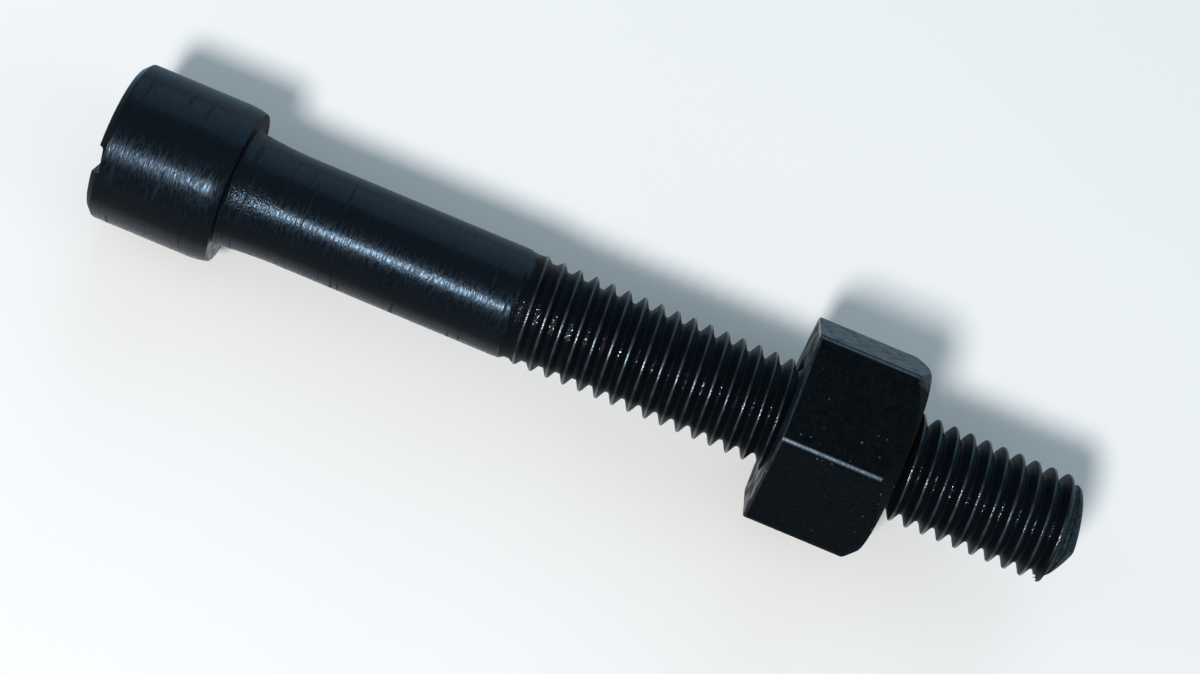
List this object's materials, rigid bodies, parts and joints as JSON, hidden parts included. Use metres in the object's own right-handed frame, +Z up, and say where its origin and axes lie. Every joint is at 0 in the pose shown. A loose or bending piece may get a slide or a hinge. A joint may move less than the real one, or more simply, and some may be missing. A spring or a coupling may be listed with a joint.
{
  "type": "leaf spring center bolt",
  "caption": "Round-headed bolt with a driver slot, plain shank and coarse right-hand thread, carrying a thick hexagon nut; it clamps and centres a leaf spring pack.",
  "frame": {"origin": "on the bolt's axis, in the plane of the seat under the head", "axes": "+X along the bolt towards the thread, +Z up out of the nut's upper flat as the bolt lies"},
  "size_m": [0.1142, 0.025, 0.022],
  "materials": {
    "bolt_steel": "oiled black oxide, satin, with fine rings left by turning",
    "nut_steel": "oiled black oxide, dull, with bright specks"
  },
  "bodies": {
    "bolt": {"center_bolt": "bolt_steel"},
    "nut": {"hex_nut": "nut_steel"}
  },
  "joints": [
    {"name": "nut_travel", "type": "slide", "parent": "bolt", "child": "nut", "axis": [1, 0, 0], "range_m": [-0.0254, 0.02931]}
  ]
}
